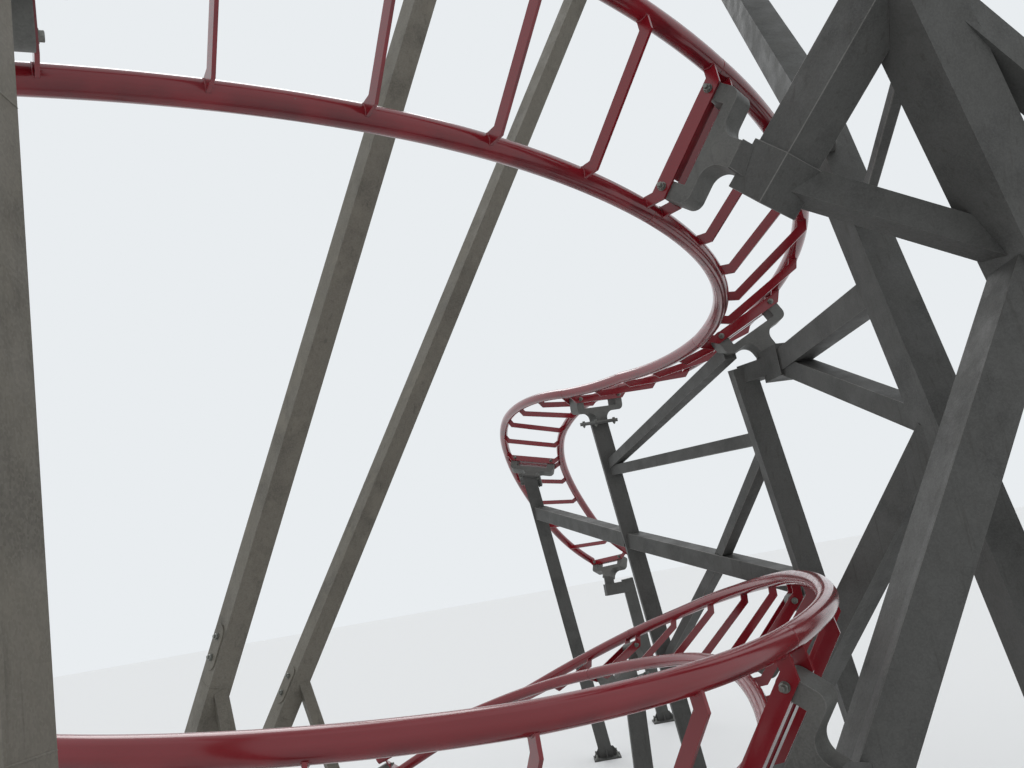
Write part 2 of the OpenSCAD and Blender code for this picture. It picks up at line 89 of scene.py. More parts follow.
class TrackSizes(bpy.types.PropertyGroup):
    """Sizes of the track that the tubes, welds and bolts are made from."""

    gauge: FloatProperty(
        name="Gauge", description="Between the middles of the rails", default=1.03, unit="LENGTH")
    bay: FloatProperty(
        name="Bay", description="From one tie to the next along the centre line",
        default=0.82, unit="LENGTH")
    rail: FloatProperty(
        name="Rail diameter", description="Outside of a rail tube", default=0.14, unit="LENGTH")
    wall: FloatProperty(
        name="Rail wall", description="Thickness of the tube's wall, seen at the free ends",
        default=0.012, unit="LENGTH")
    bore: FloatProperty(
        name="Open bore", description="How deep a free end is open", default=0.12, unit="LENGTH")
    gap: FloatProperty(
        name="Rail gap", description="Open line between the tubes of two lengths",
        default=0.003, unit="LENGTH")
    chamfer: FloatProperty(
        name="Chamfer", description="Ground edge at a tube's end", default=0.003, unit="LENGTH")
    sides: IntProperty(name="Tube sides", description="Faces round a rail tube", default=48)
    rings: IntProperty(
        name="Rings per bay", description="Rings of a tube from tie to tie", default=14)
    tie_thickness: FloatProperty(
        name="Tie thickness", description="Plates and joint frames", default=0.02, unit="LENGTH")
    tie_depth: FloatProperty(
        name="Tie depth", description="Depth of a tie plate where it meets a rail",
        default=0.08, unit="LENGTH")
    frame_offset: FloatProperty(
        name="Frame offset", description="From a joint to the middle of its frames",
        default=0.105, unit="LENGTH")
    weld: FloatProperty(
        name="Weld", description="Radius of the bead between a plate and a rail",
        default=0.006, unit="LENGTH")
    bolt_x: FloatProperty(
        name="Bolt place across", description="From the middle of a joint to its bolts",
        default=0.34, unit="LENGTH")
    bolt_z: FloatProperty(
        name="Bolt place below", description="From the rail plane down to the bolts",
        default=0.1125, unit="LENGTH")
    joint_bolt: FloatProperty(
        name="Joint bolt", description="Radius of a joint bolt's washer", default=0.03, unit="LENGTH")
    bolt_end: FloatProperty(
        name="Bolt end", description="Thread that stands out of a joint's nut", default=0.02, unit="LENGTH")
    frame_bottom: FloatProperty(
        name="Frame bottom", description="A frame's lower edge, from the rail plane",
        default=-0.165, unit="LENGTH")
    lip: FloatProperty(
        name="Lip", description="Width of the lip along a frame's lower edge", default=0.055, unit="LENGTH")
    lip_thickness: FloatProperty(
        name="Lip thickness", description="Thickness of that lip", default=0.012, unit="LENGTH")
    lip_clear: FloatProperty(
        name="Lip clearance", description="From a bolt's middle to the end of a lip",
        default=0.072, unit="LENGTH")
    reach: FloatProperty(
        name="Head reach", description="From the rail plane to the flange of a head",
        default=0.48, unit="LENGTH")


class SupportSizes(bpy.types.PropertyGroup):
    """Sizes of the details on the supports."""

    plate_edge: FloatProperty(
        name="Plate edge", description="Ground edge of ties and frames", default=0.0025, unit="LENGTH")
    head_edge: FloatProperty(
        name="Head edge", description="Rounder edge of the heads", default=0.004, unit="LENGTH")
    section_edge: FloatProperty(
        name="Section edge", description="Round corner of a box section", default=0.007, unit="LENGTH")
    bead: FloatProperty(
        name="Bead", description="Radius of a weld along an inner corner", default=0.006, unit="LENGTH")
    flange: FloatProperty(
        name="Flange thickness", description="Plates where a head is bolted on",
        default=0.025, unit="LENGTH")
    flange_bolt: FloatProperty(
        name="Flange bolt place", description="From the stem's axis to a flange bolt",
        default=0.16, unit="LENGTH")
    flange_washer: FloatProperty(
        name="Flange washer", description="Radius of a flange bolt's washer", default=0.022, unit="LENGTH")
    flange_end: FloatProperty(
        name="Flange bolt end", description="Thread that stands out of a flange's nut",
        default=0.012, unit="LENGTH")
    anchor: FloatProperty(
        name="Anchor", description="Radius of an anchor's washer", default=0.032, unit="LENGTH")
    anchor_end: FloatProperty(
        name="Anchor end", description="Thread that stands out of an anchor's nut",
        default=0.05, unit="LENGTH")
    anchor_edge: FloatProperty(
        name="Anchor place", description="From a base plate's edge to its anchors",
        default=0.055, unit="LENGTH")
    base: FloatProperty(
        name="Base plate", description="Thickness of a base plate", default=0.03, unit="LENGTH")
    rake: FloatProperty(
        name="Raking column", description="Side of a raking column's section", default=0.19, unit="LENGTH")
    splice: FloatProperty(
        name="Splice plate", description="Thickness of a splice plate", default=0.012, unit="LENGTH")
    splice_radius: FloatProperty(
        name="Splice end", description="Radius of a splice plate's round ends",
        default=0.075, unit="LENGTH")
    splice_reach: FloatProperty(
        name="Splice reach", description="From its middle to that of a round end",
        default=0.11, unit="LENGTH")
    splice_place: FloatProperty(
        name="Splice bolt place", description="From the plate's middle to a bolt",
        default=0.085, unit="LENGTH")
    splice_washer: FloatProperty(
        name="Splice washer", description="Radius of a splice bolt's washer", default=0.028, unit="LENGTH")
    splice_end: FloatProperty(
        name="Splice bolt end", description="Thread that stands out of a splice's nut",
        default=0.01, unit="LENGTH")
    seam_drop: FloatProperty(
        name="Seam drop", description="From a splice down to the seam round its column",
        default=0.3, unit="LENGTH")
    post: FloatProperty(
        name="Left post", description="Side of the left post's section", default=0.24, unit="LENGTH")
    post_seams: FloatVectorProperty(
        name="Post seams", description="Heights of the seams round the left post",
        default=(1.2, 3.0, 4.83), unit="LENGTH")
    seam: FloatProperty(
        name="Seam", description="Radius of a butt weld round a section", default=0.0035, unit="LENGTH")


class Finishes(bpy.types.PropertyGroup):
    """Colours of the finishes and of the stage."""

    paint: StringProperty(name="Paint", description="Enamel of the track, sRGB", default="#780f1a")
    paint_faded: StringProperty(
        name="Faded paint", description="Enamel bleached by the sun", default="#831d28")
    # Enamel darkened as painted shade on what faces down, in patches
    paint_shade: StringProperty(
        name="Grimy paint", description="Enamel under road film", default="#4e0d16")
    paint_worn: StringProperty(
        name="Worn paint", description="Enamel that the wheels rub", default="#8f3740")
    primer: StringProperty(
        name="Primer", description="Grey coat that shows in the stone chips", default="#5b4a46")
    dust: StringProperty(
        name="Dust", description="Dust that lies on the painted tops", default="#a88880")
    # Zinc darkened as painted shade, for the frame under the track
    zinc: StringProperty(name="Zinc", description="Weathered galvanised steel", default="#4b4b49")
    # Zinc made paler and warmer as painted light, for the members that stand free
    zinc_open: StringProperty(
        name="Rained zinc", description="Zinc that rain and sun keep pale", default="#6c685f")
    # Paler zinc along the rounded corners, a painted highlight
    zinc_edge: StringProperty(
        name="Edge zinc", description="Zinc rubbed pale along the corners", default="#686764")
    zinc_cast: StringProperty(
        name="Head zinc", description="Thicker, paler zinc on the heads", default="#5c5c59")
    stain: StringProperty(name="Stain", description="Run-off streaks", default="#393733")
    fastener: StringProperty(
        name="Fastener", description="Zinc-plated bolts and nuts", default="#777873")
    floor: StringProperty(name="Floor", description="Plain pale floor", default="#e9ebec")
    backdrop: StringProperty(
        name="Backdrop", description="Plain pale surroundings", default="#e9edf0")
    daylight: StringProperty(
        name="Daylight", description="Colour of the light from all round", default="#f8f9fa")
    sky: FloatProperty(name="Sky", description="Strength of the light from all round", default=0.74)
    lamp: FloatProperty(name="Lamp", description="Strength of the soft lamp", default=0.95)
    lamp_width: FloatProperty(
        name="Lamp width", description="How wide the soft lamp looks from the floor",
        default=math.radians(35), subtype="ANGLE")
    lamp_turn: FloatVectorProperty(
        name="Lamp turn", description="Where the soft lamp shines from",
        subtype="EULER", default=(math.radians(-38), math.radians(-10), 0))
    camera_place: FloatVectorProperty(
        name="Camera place", description="Where the camera stands",
        default=(1.43, -2.35, 3.2), subtype="TRANSLATION", unit="LENGTH")
    camera_pitch: FloatProperty(
        name="Camera pitch", description="Upward tilt of the view",
        default=math.radians(12.3), subtype="ANGLE")
    camera_roll: FloatProperty(
        name="Camera roll", description="Turn of the picture about the view",
        default=math.radians(-10), subtype="ANGLE")
    camera_lens: FloatProperty(
        name="Camera lens", description="Focal length in mm on a 36 mm wide sensor", default=32.52)


# The track's curve, as whole arrays

def run_angle(track, k, t):
    """Heading (1), climb (2) or bank (3) in radians at t bays: each row adds its angle evenly over its
    bays."""
    rows = np.array(track["rows"], float)
    begins = np.concatenate([[0.0], np.cumsum(rows[:-1, 0])])
    share = np.clip((np.asarray(t, float)[..., None] - begins) / rows[:, 0], 0, 1)
    return np.radians(track["angles"][k - 1] + share @ rows[:, k])


def axes(track, t):
    """Unit vectors right, ahead and up at t: ahead from heading and climb, the others rolled by the bank."""
    h, c, b = (run_angle(track, k, t) for k in (1, 2, 3))
    zero = np.zeros_like(h)
    ahead = np.stack([np.cos(c) * np.cos(h), np.cos(c) * np.sin(h), np.sin(c)], -1)
    level = np.stack([np.sin(h), -np.cos(h), zero], -1)
    upright = np.stack([-np.sin(c) * np.cos(h), -np.sin(c) * np.sin(h), np.cos(c)], -1)
    cos, sin = np.cos(b)[..., None], np.sin(b)[..., None]
    return cos * level + sin * upright, ahead, cos * upright - sin * level


def centre(track, t):
    """Centre line at t: a walk of short steps ahead, each in the direction at its middle."""
    t = np.asarray(t, float)
    bay = bpy.context.scene.track_sizes.bay
    count = BAYS * track["lengths"] * STEPS + STEPS
    steps = axes(track, (np.arange(count) + 0.5) / STEPS)[1] * bay / STEPS
    walk = np.array(track["start"]) + np.concatenate([np.zeros((1, 3)), np.cumsum(steps, 0)])
    # A step's own end counts as the start of the next in spite of rounding
    i = np.floor(t * STEPS + 0.001).astype(int)
    rest = (t - i / STEPS)[..., None] * bay
    return walk[i] + rest * axes(track, (t + i / STEPS) / 2)[1]


def rail_centre(track, t, side):
    """Middle of a rail at t: half the gauge to the right (1) or left (-1) of the centre line."""
    return centre(track, t) + side * bpy.context.scene.track_sizes.gauge / 2 * axes(track, t)[0]


def joint_places(track):
    """Origin and the matrix (right, ahead, up as rows) of each joint of the track."""
    t = np.arange(track["lengths"] + 1) * float(BAYS)
    return centre(track, t), np.stack(axes(track, t), 1)


# Meshes

def skin(rings, sides):
    """Faces of a closed skin over rings of points, in two blocks: quads from ring to ring, and the caps."""
    i, j = np.meshgrid(np.arange(rings - 1), np.arange(sides), indexing="ij")
    n = (j + 1) % sides
    quads = np.stack([i * sides + j, i * sides + n, (i + 1) * sides + n, (i + 1) * sides + j], -1)
    ring = np.arange(sides)
    return quads.reshape(-1, 4), np.stack([ring[::-1], ring + (rings - 1) * sides])


def many(points, blocks):
    """Faces of copies of one shape: points is (copies, points of one, 3), blocks are those of the first."""
    copies, size = points.shape[:2]
    shift = np.arange(copies)[:, None, None] * size
    return [face for block in blocks for face in (block + shift).reshape(-1, block.shape[-1]).tolist()]


def new_mesh(name, points, faces, smooth):
    """Mesh from arrays, shaded smooth where neighbours meet at less than the angle smooth."""
    mesh = bpy.data.meshes.new(name)
    mesh.from_pydata(points.reshape(-1, 3).tolist(), [], faces)
    if smooth:
        mesh.shade_smooth()
        mesh.set_sharp_from_angle(angle=math.radians(smooth))
    return mesh


def new_piece(name, mesh, material, replaced=()):
    """Puts a mesh into the scene as a piece of the part, for the CAD nodes it stands for."""
    piece = bpy.data.objects.new(name, mesh)
    bpy.context.scene.collection.objects.link(piece)
    mesh.materials.clear()
    mesh.materials.append(material)
    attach(piece, "root")
    if replaced:
        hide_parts(*replaced)
    return piece


def new_shell(name, points, faces, smooth, finish, slot):
    """Puts a piece made of arrays into the scene."""
    return new_piece(name, new_mesh(name, points, faces, smooth), material(finish))


def fasteners(seats, matrices, size, proud, sides):
    """Hex bolts or nuts on washers. Rings rise along each seat's third axis, and a ring is a circle, or a
    hexagon: its half width over the cosine of the angle from the middle of the nearest flat. Proud is the
    thread that stands out of a nut."""
    turn = np.arange(sides) * 2 * np.pi / sides
    flat = 1 / np.cos((turn + np.pi / 6) % (np.pi / 3) - np.pi / 6)
    washer, top = size * 0.16, size * 0.86
    # Height, radius as a share of size, and whether it is a hexagon
    rings = [(0.0, 1.02, 0), (washer, 1.02, 0), (washer, 0.77, 1), (size * 0.762, 0.77, 1), (top, 0.72, 0)]
    if proud:
        rings += [(top, 0.5, 0), (top + proud, 0.5, 0), (top + proud + 0.08 * size, 0.42, 0)]
    height, radius, hexed = np.array(rings).T[..., None]
    spread = radius * size * np.where(hexed > 0, flat, 1.0)
    ring = np.stack([spread * np.cos(turn), spread * np.sin(turn),
                     np.broadcast_to(height, spread.shape)], -1)
    points = np.einsum("pk,nkx->npx", ring.reshape(-1, 3), matrices) + seats[:, None, :]
    return points, many(points, skin(len(rings), sides))


def new_fasteners(name, *shape):
    """Puts bolts or nuts into the scene."""
    new_shell(name, *fasteners(*shape), TURNED, "zinc_plated_fastener", "galvanised_steel")


def beads(starts, ends, radius):
    """Weld beads on straight lines: tubes whose radius is drawn in at the ends, and between them rises
    and falls by a tenth as ripples."""
    along = ends - starts
    length = np.linalg.norm(along, axis=1, keepdims=True)
    z = along / length
    helper = np.where(np.abs(z[:, 2:]) > 0.9, [[1.0, 0, 0]], [[0, 0, 1.0]])
    x = np.cross(helper, z)
    x /= np.linalg.norm(x, axis=1, keepdims=True)
    y = np.cross(z, x)
    s = np.linspace(0, 1, BEAD_RINGS)
    swell = radius * np.where((s == 0) | (s == 1), 0.45, 1 + 0.1 * np.sin(s * RIPPLE))
    turn = np.arange(BEAD_SIDES) * 2 * np.pi / BEAD_SIDES
    ring = (np.cos(turn)[:, None, None] * x + np.sin(turn)[:, None, None] * y).transpose(1, 0, 2)
    path = starts[:, None, :] + s[:, None] * along[:, None, :]
    points = path[:, :, None, :] + swell[:, None, None] * ring[:, None]
    points = points.reshape(len(starts), -1, 3)
    return points, many(points, skin(BEAD_RINGS, BEAD_SIDES))


def bars(starts, ends, sides, width, height, edge):
    """Flat bars: a rectangle with cut corners, carried from each start to each end; sides are the unit
    vectors along the width."""
    z = ends - starts
    z /= np.linalg.norm(z, axis=1, keepdims=True)
    x = sides - np.sum(sides * z, 1, keepdims=True) * z
    x /= np.linalg.norm(x, axis=1, keepdims=True)
    y = np.cross(z, x)
    w, h = width / 2, height / 2
    corner = np.array([(w, edge - h), (w, h - edge), (w - edge, h), (edge - w, h),
                       (-w, h - edge), (-w, edge - h), (edge - w, -h), (w - edge, -h)])
    flat = corner[:, 0, None] * x[:, None] + corner[:, 1, None] * y[:, None]
    points = np.stack([starts[:, None] + flat, ends[:, None] + flat], 1).reshape(len(starts), -1, 3)
    return points, many(points, skin(2, 8))


def merged_copy(node):
    """Copy of a CAD node's mesh with its doubles merged and flat neighbours joined into whole faces."""
    bm = bmesh.new()
    bm.from_mesh(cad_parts[node].data)
    bmesh.ops.remove_doubles(bm, verts=bm.verts, dist=MERGED)
    bmesh.ops.dissolve_degenerate(bm, edges=bm.edges, dist=MERGED)
    bmesh.ops.dissolve_limit(bm, angle_limit=math.radians(PLANE), verts=bm.verts, edges=bm.edges)
    return bm


def inner_corners(bm, shortest):
    """Ends of the edges where two faces meet in an inner corner, apart from the shortest ones."""
    found = [e for e in bm.edges if len(e.link_faces) == 2 and e.calc_length() > shortest
             and e.calc_face_angle_signed() < -math.radians(INNER)]
    ends = np.array([[v.co[:] for v in e.verts] for e in found]).reshape(-1, 2, 3)
    return ends[:, 0], ends[:, 1]


def round_edges(piece, width, segments):
    """Rounds the outer edges of a plate or box section."""
    bevel = piece.modifiers.new("edge", "BEVEL")
    bevel.width = width
    bevel.segments = segments
    bevel.limit_method = "ANGLE"
    bevel.angle_limit = math.radians(TURNED)
    bevel.harden_normals = True
    bevel.miter_outer = "MITER_ARC"
    bevel.use_clamp_overlap = True


# Materials

# Settings that many nodes share. A range's inputs are 0 value, 1 from, 2 to, 3 lowest and 4 highest
# result, a blend's 0 factor, 6 under and 7 over, with the result in output 2
STEP = {"interpolation_type": "SMOOTHSTEP"}
BLEND = {"out": 2, "data_type": "RGBA"}
BY = {"operation": "MULTIPLY"}
BY_PLUS = {"operation": "MULTIPLY_ADD"}


def linear(colour):
    """sRGB hex to the linear colour that a socket takes."""
    parts = np.array([int(colour[i:i + 2], 16) for i in (1, 3, 5)]) / 255
    return (*np.where(parts <= 0.04045, parts / 12.92, ((parts + 0.055) / 1.055) ** 2.4), 1.0)


def add(tree, kind, sockets, out=0, **settings):
    """Adds a node and gives back its output out, or the node itself where out is None. Sockets are its
    inputs by name or number, each a value or a link, and settings its own."""
    node = tree.nodes.new("ShaderNode" + kind)
    for name, value in settings.items():
        setattr(node, name, value)
    for key, value in sockets.items():
        if isinstance(value, bpy.types.NodeSocket):
            tree.links.new(value, node.inputs[key])
        else:
            node.inputs[key].default_value = value
    return node if out is None else node.outputs[out]


def per_mm(size):
    """Scale of a pattern whose features are size millimetres apart."""
    return 1000 / size


def new_material(name):
    """Empty material and its tree."""
    made = bpy.data.materials.new(name)
    made.use_nodes = True
    made.node_tree.nodes.clear()
    return made, made.node_tree


def track_enamel(name, running):
    """Gloss enamel sprayed on steel: even red, paler where the sun bleaches it, dust on the tops, painted
    shade in patches underneath, and on the rails (running) bands that the wheels keep clean and slightly
    glossier."""
    looks = bpy.context.scene.finishes
    made, tree = new_material(name)
    place = add(tree, "TexCoord", {}, "Object")
    up = add(tree, "SeparateXYZ", {0: add(tree, "NewGeometry", {}, "Normal")}, "Z")
    # Bleached clouds 700 mm wide
    clouds = add(tree, "TexNoise", {"Vector": place, "Scale": per_mm(700), "Detail": 3.0})
    faded = add(tree, "MapRange", {0: clouds, 1: 0.4, 2: 0.75, 4: 0.55}, **STEP)
    colour = add(tree, "Mix", {0: faded, 6: linear(looks.paint), 7: linear(looks.paint_faded)}, **BLEND)
    # Painted shade in patches 260 mm wide on what faces down
    patches = add(tree, "TexNoise", {"Vector": place, "Scale": per_mm(260), "Detail": 4.0})
    underside_shade = add(tree, "MapRange", {0: patches, 1: 0.2, 2: 0.75, 4: 0.85}, **STEP)
    underside_shade = add(tree, "Math", {0: add(tree, "MapRange", {0: up, 1: 0.25, 2: -0.9}, **STEP), 1: underside_shade}, **BY)
    colour = add(tree, "Mix", {0: underside_shade, 6: colour, 7: linear(looks.paint_shade)}, **BLEND)
    lie, settled = place, 0.4
    if running:
        # The piece's own map: distance along in metres, turn round the tube from 0 to 1. The wheels draw
        # dust and wear out along the rail, in streaks 26 mm wide and metres long
        along = add(tree, "UVMap", {}, uv_map="along")
        turn = add(tree, "SeparateXYZ", {0: along}, "Y")
        lie, settled = add(tree, "Mapping", {0: along, "Scale": (0.03, 1.0, 1.0)}), 0.12
    specks = add(tree, "TexNoise", {"Vector": lie, "Scale": per_mm(60), "Detail": 1.0, "Roughness": 0.4})
    specks = add(tree, "MapRange", {0: specks, 1: 0.3, 2: 0.7, 4: settled}, **STEP)
    dusty = add(tree, "Math", {0: add(tree, "MapRange", {0: up, 1: 0.5, 2: 1.0}, **STEP), 1: specks}, **BY)
    if running:
        # The two sides of the tube, right and left across the track, where the wheels run
        turns = add(tree, "Math", {0: turn, 1: 4.0}, **BY)
        quarter = add(tree, "Math", {0: turns, 1: 1.0}, operation="PINGPONG")
        streaks = add(tree, "TexNoise", {"Vector": lie, "Scale": per_mm(60), "Detail": 1.0})
        worn = add(tree, "Math", {0: add(tree, "MapRange", {0: quarter, 1: 0.24, 2: 0.19}, **STEP),
                                  1: add(tree, "MapRange", {0: streaks, 1: 0.3, 2: 0.6}, **STEP)}, **BY)
        unworn = add(tree, "MapRange", {0: worn, 1: 1.0, 2: 0.0}, **STEP)
        dusty = add(tree, "Math", {0: dusty, 1: unworn}, **BY)
        rubbed = add(tree, "Math", {0: worn, 1: 0.2}, **BY)
        colour = add(tree, "Mix", {0: rubbed, 6: colour, 7: linear(looks.paint_worn)}, **BLEND)
    colour = add(tree, "Mix", {0: dusty, 6: colour, 7: linear(looks.dust)}, **BLEND)
    # Stone chips a few millimetres wide, down to the grey primer, in one cell of 55 mm out of fifteen
    cells = add(tree, "TexVoronoi", {"Vector": place, "Scale": per_mm(55)}, None, feature="F1")
    lot = add(tree, "SeparateXYZ", {0: cells.outputs["Color"]}, "X")
    core = add(tree, "MapRange", {0: cells.outputs["Distance"], 1: 0.11, 2: 0.07}, **STEP)
    chip = add(tree, "Math", {0: core, 1: add(tree, "MapRange", {0: lot, 1: 0.93, 2: 0.95}, **STEP)}, **BY)
    colour = add(tree, "Mix", {0: chip, 6: colour, 7: linear(looks.primer)}, **BLEND)
    # Gloss that varies over 160 mm, duller under dust and sharper where the wheels rub
    gloss = add(tree, "TexNoise", {"Vector": place, "Scale": per_mm(160), "Detail": 2.0})
    rough = add(tree, "MapRange", {0: gloss, 1: 0.2, 2: 0.8, 3: 0.14, 4: 0.24}, **STEP)
    rough = add(tree, "Math", {0: dusty, 1: 0.5, 2: rough}, **BY_PLUS)
    if running:
        rough = add(tree, "Math", {0: worn, 1: -0.05, 2: rough}, **BY_PLUS)
    # Soft waves of the sprayed coat, 60 mm apart
    waves = add(tree, "TexNoise", {"Vector": place, "Scale": per_mm(60), "Detail": 0.0})
    # The clear top coat draws a pale line along a rail that is seen against the sky
    shader = add(tree, "BsdfPrincipled", {
        "Base Color": colour, "Roughness": rough, "IOR": 1.5, "Coat Weight": 0.25, "Coat Roughness": 0.12,
        "Normal": add(tree, "Bump", {"Height": waves, "Strength": 0.1, "Distance": 0.0006})})
    add(tree, "OutputMaterial", {"Surface": shader}, None)
    return made


# Zinc finishes: colour, roughness, how metallic, and strength of the run-off streaks
ZINCS = {
    # Matt and dark, with long streaks: the frame under the track, darkened as painted shade
    "galvanised_section": ("zinc", 0.62, 0.2, 0.5),
    # Paler and warmer, the same zinc with painted light: members that stand free
    "galvanised_open_section": ("zinc_open", 0.58, 0.25, 0.35),
    # The thin pale line along a rounded corner, a painted highlight
    "galvanised_edge_highlight": ("zinc_edge", 0.5, 0.3, 0.3),
    # Thicker zinc with some sheen on the heads
    "galvanised_casting": ("zinc_cast", 0.45, 0.35, 0.25),
    # Bright bolts and nuts
    "zinc_plated_fastener": ("fastener", 0.36, 0.75, 0.15),
}


def galvanised(name, base, roughness, metal, streaks):
    """Hot-dip galvanised steel after some years outdoors: dull grey with faint crystal spangles, damp
    darker clouds, pale bloom and run-off streaks that fall straight down. Clouds and bloom are the base
    colour made darker and paler."""
    looks = bpy.context.scene.finishes
    made, tree = new_material(name)
    place = add(tree, "TexCoord", {}, "Object")
    base = linear(getattr(looks, base))
    damp, pale = ([channel * share for channel in base[:3]] + [1.0] for share in (0.58, 1.6))
    clouds = add(tree, "TexNoise", {"Vector": place, "Scale": per_mm(420), "Detail": 5.0, "Roughness": 0.55})
    wet = add(tree, "MapRange", {0: clouds, 1: 0.48, 2: 0.68, 4: 0.7}, **STEP)
    colour = add(tree, "Mix", {0: wet, 6: base, 7: damp}, **BLEND)
    aside = add(tree, "Mapping", {0: place, "Location": (3.1, 7.7, 1.3)})
    bloom = add(tree, "TexNoise", {"Vector": aside, "Scale": per_mm(230), "Detail": 6.0, "Roughness": 0.62})
    chalky = add(tree, "MapRange", {0: bloom, 1: 0.52, 2: 0.72, 4: 0.5}, **STEP)
    colour = add(tree, "Mix", {0: chalky, 6: colour, 7: pale}, **BLEND)
    # Crystal spangles 9 mm across
    crystals = add(tree, "TexVoronoi", {"Vector": place, "Scale": per_mm(9)}, "Color", feature="F1")
    facet = add(tree, "SeparateXYZ", {0: crystals}, "X")
    colour = add(tree, "Mix", {0: add(tree, "Math", {0: facet, 1: 0.3}, **BY), 6: colour, 7: pale}, **BLEND)
    # Streaks 34 mm wide and about half a metre long
    tall = add(tree, "Mapping", {0: place, "Scale": (1.0, 1.0, 0.06)})
    trails = add(tree, "TexNoise", {"Vector": tall, "Scale": per_mm(34), "Detail": 4.0, "Roughness": 0.6})
    run_off = add(tree, "MapRange", {0: trails, 1: 0.55, 2: 0.74, 4: streaks}, **STEP)
    colour = add(tree, "Mix", {0: run_off, 6: colour, 7: linear(looks.stain)}, **BLEND)
    # Duller where it blooms, and each spangle a little different
    dull = add(tree, "MapRange", {0: bloom, 1: 0.35, 2: 0.7, 3: roughness, 4: roughness + 0.2}, **STEP)
    rough = add(tree, "Math", {0: facet, 1: -0.06, 2: dull}, **BY_PLUS)
    # Runs of the zinc 45 mm apart, and steps from spangle to spangle
    runs = add(tree, "TexNoise", {"Vector": place, "Scale": per_mm(45), "Detail": 3.0})
    height = add(tree, "Math", {0: facet, 1: 0.15, 2: runs}, **BY_PLUS)
    shader = add(tree, "BsdfPrincipled", {
        "Base Color": colour, "Metallic": metal, "Roughness": rough,
        "Normal": add(tree, "Bump", {"Height": height, "Strength": 0.25, "Distance": 0.0012})})
    add(tree, "OutputMaterial", {"Surface": shader}, None)
    return made


def material(name):
    """The finish of that name, made the first time it is asked for."""
    made = bpy.data.materials.get(name)
    if made:
        return made
    return galvanised(name, *ZINCS[name]) if name in ZINCS else track_enamel(name, name == "rail_enamel")


# Pieces

class TRACK_OT_rails(bpy.types.Operator):
    """Smooth rail tubes of every length, open at their ends"""

    bl_idname = "track.rails"
    bl_label = "Rail tubes"

    def execute(self, context):
        s = context.scene.track_sizes
        turn = np.arange(s.sides) * 2 * np.pi / s.sides
        for track in (UPPER, LOWER):
            for k in range(track["lengths"]):
                points, ways = rail_tubes(track, k, s, turn)
                faces = many(points.reshape(2, -1, 3), skin(points.shape[1], s.sides))
                name = f"{track['name']}_rails_{k + 1}"
                mesh = new_mesh(name + "_tubes", points, faces, TURNED)
                lay_map(mesh, ways, s.sides)
                new_piece(name + "_tubes", mesh, material("rail_enamel"), (name,))
        return {"FINISHED"}


def rail_tubes(track, k, s, turn):
    """Both tubes of a length: circles carried along the rail's curve. At each end the circle steps in for
    the chamfer, then for the wall, and goes back into the tube to a closed bottom."""
    half, cut, deep = (length / s.bay for length in (s.gap / 2, s.chamfer, s.bore))
    a, b = BAYS * k + half, BAYS * (k + 1) - half
    r = s.rail / 2
    end = [r - s.wall, r - s.wall, r - s.chamfer]
    count = s.rings * BAYS + 1
    t = np.concatenate([[a + deep, a, a], np.linspace(a + cut, b - cut, count), [b, b, b - deep]])
    radius = np.concatenate([end, np.full(count, r), end[::-1]])
    right, _, up = axes(track, t)
    ring = np.cos(turn)[None, :, None] * right[:, None] - np.sin(turn)[None, :, None] * up[:, None]
    tubes = [rail_centre(track, t, side)[:, None] + radius[:, None, None] * ring for side in (-1, 1)]
    return np.stack(tubes), np.tile(t * s.bay, 2)


def lay_map(mesh, ways, sides):
    """Map of a tube: distance along in metres, and turn round it from 0 to 1 without a seam jump."""
    uv = mesh.uv_layers.new(name="along").data
    index = np.empty(len(mesh.loops), np.int32)
    mesh.loops.foreach_get("vertex_index", index)
    totals = np.empty(len(mesh.polygons), np.int32)
    mesh.polygons.foreach_get("loop_total", totals)
    owner = np.repeat(np.arange(len(totals)), totals)
    j = index % sides
    first = np.zeros(len(totals), bool)
    np.logical_or.at(first, owner, j == 0)
    last = np.zeros(len(totals), bool)
    np.logical_or.at(last, owner, j == sides - 1)
    v = np.where((first & last & (totals == 4))[owner] & (j == 0), 1.0, j / sides)
    flat = np.stack([ways[index // sides], v], -1)
    uv.foreach_set("uv", flat.astype(np.float32).ravel())


class TRACK_OT_plates(bpy.types.Operator):
    """Tie plates and joint frames with ground edges"""

    bl_idname = "track.plates"
    bl_label = "Ties and frames"

    def execute(self, context):
        for track in (UPPER, LOWER):
            for k in range(track["lengths"]):
                finish_node(f"{track['name']}_ties_{k + 1}", "plate_enamel", "track_paint",
                            context.scene.support_sizes.plate_edge, 2, 0)
        return {"FINISHED"}


class TRACK_OT_rail_welds(bpy.types.Operator):
    """Weld beads between the plates and the rails"""

    bl_idname = "track.rail_welds"
    bl_label = "Rail welds"

    def execute(self, context):
        s = context.scene.track_sizes
        for track in (UPPER, LOWER):
            points = rail_beads(track, s)
            new_shell(track["name"] + "_welds", points, many(points, skin(ARC_RINGS, BEAD_SIDES)), ARCED,
                      "plate_enamel", "track_paint")
        return {"FINISHED"}


